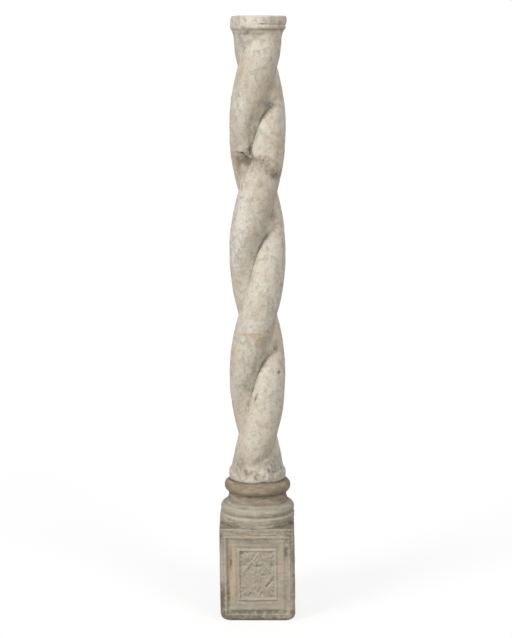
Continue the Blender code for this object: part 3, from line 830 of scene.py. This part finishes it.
def pedestal_grid(settings):
    """The carved pedestal as rows and columns of points, and what its material reads."""
    half = settings.die_width / MM / 2
    foot_round = settings.foot_rounding / MM
    grid, die_rows = pedestal_form(half, foot_round, settings.corner_radius / MM)
    x, y, z = np.moveaxis(grid, -1, 0)
    die = (np.arange(PEDESTAL_ROWS + 1) < die_rows)[:, None] & (z > 0.5) & (z < DIE_HEIGHT - 0.5)
    turned_part = z >= DIE_HEIGHT - 0.5
    low = np.maximum(SIDE_WEAR - z, 0)
    worn_in = SIDE_WEAR - np.sqrt(SIDE_WEAR ** 2 - low ** 2)
    low = np.maximum(foot_round - z, 0)
    rounded_in = foot_round - np.sqrt(foot_round ** 2 - low ** 2)
    grid[..., 0] *= (half - np.maximum(worn_in, rounded_in)) / (half - rounded_in)
    depth = 0 * x
    fillet = 0 * x
    wobble_x = 0.9 * mottle(grid, 60, 2, 11.0)
    wobble_z = 0.9 * mottle(grid, 60, 2, 12.0)
    for side, across, out, flip in (
        ("front", x, -y, 1), ("right", y, x, 1), ("back", x, y, 1), ("left", y, -x, 1),
    ):
        facing = die & (out > np.abs(across) - 0.01)
        depth[facing], fillet[facing] = face_depth(
            across[facing] + wobble_x[facing], z[facing] + wobble_z[facing], side)
    weather = settings.weathering / MM
    dent = -depth + weather * (0.8 * mottle(grid, 55, 2, 13.0) + 0.5 * mottle(grid, 14, 3, 14.0))
    sideways = np.abs(x) > np.abs(y)
    square_out = np.stack([np.sign(x) * sideways, np.sign(y) * ~sideways, 0 * z], axis=-1)
    outward = np.where(die[..., None], square_out, normals_of(grid))
    movable = die | (turned_part & (z < SEAT_HEIGHT - 3.5))
    grid = grid + outward * np.where(movable, dent, 0)[..., None]
    lean = settings.lean / MM * (0.5 - z / DIE_HEIGHT)
    grid[..., 0] += np.where(z < DIE_HEIGHT, lean, lean * smooth_step(DIE_HEIGHT + 25, DIE_HEIGHT, z))
    limit = settings.box_half / MM
    grid = np.clip(grid, (-limit, -limit, 0), (limit, limit, SEAT_HEIGHT))

    hollow = hollowness(grid, 3)
    deep = hollowness(grid, 25)
    x, y, z = np.moveaxis(grid, -1, 0)
    upper = smooth_step(308, 314, z)
    hollow_zone = window((286, 290, 308, 314), z)
    torus_zone = window((258, 261, 286, 290), z)
    front = smooth_step(-70, -80, y) * (z < 262)
    blotch = 1 + 1.1 * mottle(grid, 12, 3, 21.0)
    marked = {}
    for name, marks in PEDESTAL_MARKS.items():
        marked[name] = MARK_STRENGTH * front * blotch * spots(x, z, marks)
    foot_dirt = 0.35 * smooth_step(34, 6, z) * blotch
    crease = np.where(z > DIE_HEIGHT - 4, 0.35, 0.75)
    ledge = window((-2.5, -0.5, 0, 3), z - DIE_HEIGHT)
    rubbed = mottle(grid, 13, 3, 24.0)
    # Pale worn lines, which also paint the highlights along the frame's fillets, the drum's top edge and
    # the lower torus's top
    lines = (0.8 * fillet + bell(z, 259.6, 1.5) + 0.7 * bell(z, 287, 1.4)) * (1 + 0.8 * rubbed)
    # Darker towards the bottom and on the die's top ledge, and painted shade on the seat's top round the
    # shaft's foot
    dirt_and_shade = foot_dirt + 0.35 * smooth_step(SEAT_HEIGHT - 2, SEAT_HEIGHT, z) + 0.5 * ledge
    masks = {
        # The carving's hollows get dirt and painted shade, less in the turned mouldings' creases
        "hollow": crease * (smooth_step(0.05, 1.0, hollow) * 0.6 + smooth_step(0.3, 3.0, deep) * 0.4),
        # Paler worn edges, with the painted highlights along the lines
        "edge": smooth_step(-0.05, -0.7, hollow) * (1 - ledge) + lines,
        "sand": marked["sand"],
        "grime": dirt_and_shade + marked["grime"],
        "lined": smooth_step(196, 222, z) * np.where(y < 0, 1, 0.6),
        "ochre": upper + marked["ochre"],
        "rose": hollow_zone + marked["rose"],
        "lichen": torus_zone * (0.8 + 0.5 * rubbed) + marked["lichen"],
    }
    return grid, masks


def tint(name, description, default):
    return FloatVectorProperty(name=name, description=description, default=default, subtype="COLOR")


def metres(name, description, default):
    return FloatProperty(name=name, description=description, default=default, unit="LENGTH")


def arc(name, description, degrees):
    return FloatProperty(name=name, description=description, default=math.radians(degrees), subtype="ANGLE")


class ShaftSettings(bpy.types.PropertyGroup):
    strand_radius: metres("Strand radius", "Radius of one strand", 0.0463)
    strand_offset: metres("Strand offset", "From the axis to the middle of a strand", 0.0231)
    groove_depth: metres("Groove depth", "How far the groove is cut between the strands", 0.0090)
    twist_pitch: metres("Pitch", "Height of one full turn", 0.6144)
    weathering: metres("Weathering", "Depth of the soft unevenness", 0.0011)
    pale: tint("Pale marble", "Colour of most of the marble", (0.70, 0.645, 0.55))
    # Also the colour of the painted light on the lobes' lit left side and the head
    clean: tint("Clean marble", "Colour of its cleanest places", (0.80, 0.75, 0.66))
    warm: tint("Warm marble", "Colour of its warmer clouds", (0.65, 0.565, 0.435))
    rose: tint("Rose marble", "Colour of its rosy clouds", (0.61, 0.49, 0.395))
    green: tint("Green-grey marble", "Colour of its cooler clouds", (0.51, 0.525, 0.44))
    grey: tint("Grey marble", "Colour of its grey clouds", (0.43, 0.37, 0.285))
    # The grime colour also paints the shade in the grooves and hollows and the shadow under the lip, the
    # head's mouldings and at the foot
    grime: tint("Grime", "Colour of the dirt in the grooves", (0.17, 0.15, 0.115))
    stain: tint("Stain", "Colour of the rusty stains", (0.54, 0.39, 0.25))
    scar: tint("Scar", "Colour of the stone at the break", (0.47, 0.375, 0.29))


class PedestalSettings(bpy.types.PropertyGroup):
    die_width: metres("Die width", "Width of the square block", 0.1866)
    corner_radius: metres("Corner wear", "Rounding of the upright edges", 0.0085)
    foot_rounding: metres("Foot wear", "Rounding of the lower edge", 0.0120)
    lean: metres("Lean", "How far the die's top leans to the left", 0.0032)
    box_half: metres("Reach", "The furthest that the stone may reach from its middle", 0.0949)
    weathering: metres("Weathering", "Depth of the soft unevenness", 0.0009)
    stone: tint("Stone", "Colour of the die", (0.40, 0.355, 0.285))
    tan: tint("Tan stone", "Colour of its warmer clouds", (0.40, 0.325, 0.235))
    grey: tint("Grey stone", "Colour of its grey clouds", (0.285, 0.265, 0.215))
    ochre: tint("Ochre", "Colour of the ochre patina", (0.27, 0.205, 0.13))
    sand: tint("Sand", "Colour of the light tan patches", (0.54, 0.43, 0.30))
    rose: tint("Rose", "Colour of the brown patina in the hollow", (0.27, 0.21, 0.155))
    lichen: tint("Grey-green", "Colour of the growth on the lower torus", (0.42, 0.39, 0.31))
    # The grime colour also paints the shade in the carving's hollows and on the seat
    grime: tint("Grime", "Colour of the dirt in the carving", (0.11, 0.095, 0.07))
    # The worn edge colour also paints the highlights along the fillets and the mouldings' edges
    pale: tint("Worn edge", "Colour of the worn edges", (0.52, 0.46, 0.36))


class StageSettings(bpy.types.PropertyGroup):
    floor_size: metres("Floor", "Width of the floor", 120.0)
    camera_distance: metres("Camera distance", "From the column's axis to the camera", 4.124)
    camera_height: metres("Camera height", "Height of the camera", 1.44)
    camera_pitch: arc("Camera pitch", "How far the camera looks down", 7.13)
    lens: FloatProperty(name="Lens", description="Focal length in millimetres", default=94.40)
    left_power: FloatProperty(
        name="Left light", description="Strength of the light at the camera's left", default=2.0)
    right_power: FloatProperty(
        name="Right light", description="Strength of the light at the camera's right", default=1.15)
    light_spread: arc("Light spread", "How broad each light looks from the column", 24)
    left_turn: arc("Left turn", "How far to the camera's left the left light stands", 49)
    right_turn: arc("Right turn", "How far to the camera's right the right light stands", 38)
    left_height: arc("Left height", "How high the left light stands", 26)
    right_height: arc("Right height", "How high the right light stands", 36)
    sky: FloatProperty(name="Fill", description="Strength of the white light from all round", default=0.40)


class COLUMN_OT_carve_shaft(bpy.types.Operator):
    """Carves the twisted shaft from a drum of stone and weathers it"""

    bl_idname = "column.carve_shaft"
    bl_label = "Carve the shaft"

    def execute(self, context):
        settings = context.scene.column_shaft
        block = carved_block("worn_shaft", SHAFT_COLUMNS, SHAFT_CUTS, *shaft_grid(settings))
        finish_stone(block, shaft_marble(settings), "twisted_shaft")
        return {"FINISHED"}


class COLUMN_OT_carve_pedestal(bpy.types.Operator):
    """Carves the square pedestal with its panels and turned mouldings and weathers it"""

    bl_idname = "column.carve_pedestal"
    bl_label = "Carve the pedestal"

    def execute(self, context):
        settings = context.scene.column_pedestal
        block = carved_block("worn_pedestal", PEDESTAL_COLUMNS, PEDESTAL_CUTS, *pedestal_grid(settings))
        finish_stone(block, pedestal_marble(settings), "carved_pedestal")
        return {"FINISHED"}


# The floor's own grey, and how much it glows for the light and for the camera
FLOOR_GREY = 0.22
FLOOR_GLOW = 0.12
FLOOR_SEEN = 0.80

# The camera's sensor in millimetres, and its shift across and up in rows of a picture this high
SENSOR_WIDTH = 36
PICTURE_HEIGHT = 638
SHIFT_ACROSS = -1.5
SHIFT_UP = -69.2


def add_soft_light(name, turn, rise, settings, power):
    """A broad soft light from far off, turned to the right of the camera's side."""
    bpy.ops.object.select_all(action="DESELECT")
    away = Vector((math.sin(turn) * math.cos(rise), -math.cos(turn) * math.cos(rise), math.sin(rise)))
    bpy.ops.object.light_add(type="SUN", location=4 * away)
    light = bpy.context.object
    light.name = name
    light.data.energy = power
    light.data.angle = settings.light_spread
    light.rotation_euler = away.to_track_quat("Z", "Y").to_euler()


class COLUMN_OT_set_stage(bpy.types.Operator):
    """Lays the pale floor and sets the light and the camera"""

    bl_idname = "column.set_stage"
    bl_label = "Set the stage"

    def execute(self, context):
        settings = context.scene.column_stage
        bpy.ops.object.select_all(action="DESELECT")
        bpy.ops.mesh.primitive_plane_add(size=settings.floor_size, location=(0, 0, 0))
        floor = bpy.context.object
        floor.name = "pale_floor"
        paper = bpy.data.materials.new("pale floor")
        paper.use_nodes = True
        shader = paper.node_tree.nodes["Principled BSDF"]
        shader.inputs["Base Color"].default_value = (FLOOR_GREY, FLOOR_GREY, FLOOR_GREY, 1)
        shader.inputs["Roughness"].default_value = 0.9
        shader.inputs["Specular IOR Level"].default_value = 0.1
        pen = Signal(paper.node_tree)
        seen = pen.node("ShaderNodeLightPath", output="Is Camera Ray")
        glow = seen.mixed((FLOOR_GLOW,) * 3, (FLOOR_SEEN,) * 3)
        paper.node_tree.links.new(glow.socket, shader.inputs["Emission Color"])
        shader.inputs["Emission Strength"].default_value = 1.0
        floor.data.materials.append(paper)

        add_soft_light(
            "left light", -settings.left_turn, settings.left_height, settings, settings.left_power)
        add_soft_light(
            "right light", settings.right_turn, settings.right_height, settings, settings.right_power)

        world = bpy.data.worlds.new("white room")
        context.scene.world = world
        world.use_nodes = True
        pen = Signal(world.node_tree)
        seen = pen.node("ShaderNodeLightPath", output="Is Camera Ray")
        back = world.node_tree.nodes["Background"]
        strength = seen + (1 - seen) * settings.sky
        world.node_tree.links.new(strength.socket, back.inputs["Strength"])
        back.inputs["Color"].default_value = (1, 1, 1, 1)
        context.scene.view_settings.view_transform = "Standard"

        bpy.ops.object.select_all(action="DESELECT")
        place = (0, -settings.camera_distance, settings.camera_height)
        bpy.ops.object.camera_add(location=place, rotation=(math.pi / 2 - settings.camera_pitch, 0, 0))
        camera = context.object
        camera.name = "camera"
        camera.data.lens = settings.lens
        camera.data.sensor_width = SENSOR_WIDTH
        camera.data.shift_x = SHIFT_ACROSS / PICTURE_HEIGHT
        camera.data.shift_y = SHIFT_UP / PICTURE_HEIGHT
        context.scene.camera = camera
        return {"FINISHED"}


class COLUMN_PT_panel(bpy.types.Panel):
    """The column's steps and their settings"""

    bl_idname = "COLUMN_PT_panel"
    bl_label = "Twisted marble column"
    bl_space_type = "VIEW_3D"
    bl_region_type = "UI"
    bl_category = "Column"

    def draw(self, context):
        for operator, name, group in STEPS:
            box = self.layout.box()
            box.operator(operator.bl_idname)
            for setting in group.__annotations__:
                box.prop(getattr(context.scene, name), setting)


STEPS = (
    (COLUMN_OT_set_stage, "column_stage", StageSettings),
    (COLUMN_OT_carve_shaft, "column_shaft", ShaftSettings),
    (COLUMN_OT_carve_pedestal, "column_pedestal", PedestalSettings),
)


def register():
    for operator, name, group in STEPS:
        bpy.utils.register_class(group)
        setattr(bpy.types.Scene, name, PointerProperty(type=group))
        bpy.utils.register_class(operator)
    bpy.utils.register_class(COLUMN_PT_panel)


def unregister():
    bpy.utils.unregister_class(COLUMN_PT_panel)
    for operator, name, group in reversed(STEPS):
        bpy.utils.unregister_class(operator)
        delattr(bpy.types.Scene, name)
        bpy.utils.unregister_class(group)


def main():
    register()
    bpy.ops.column.set_stage()
    bpy.ops.column.carve_shaft()
    bpy.ops.column.carve_pedestal()


if __name__ == "__main__":
    main()
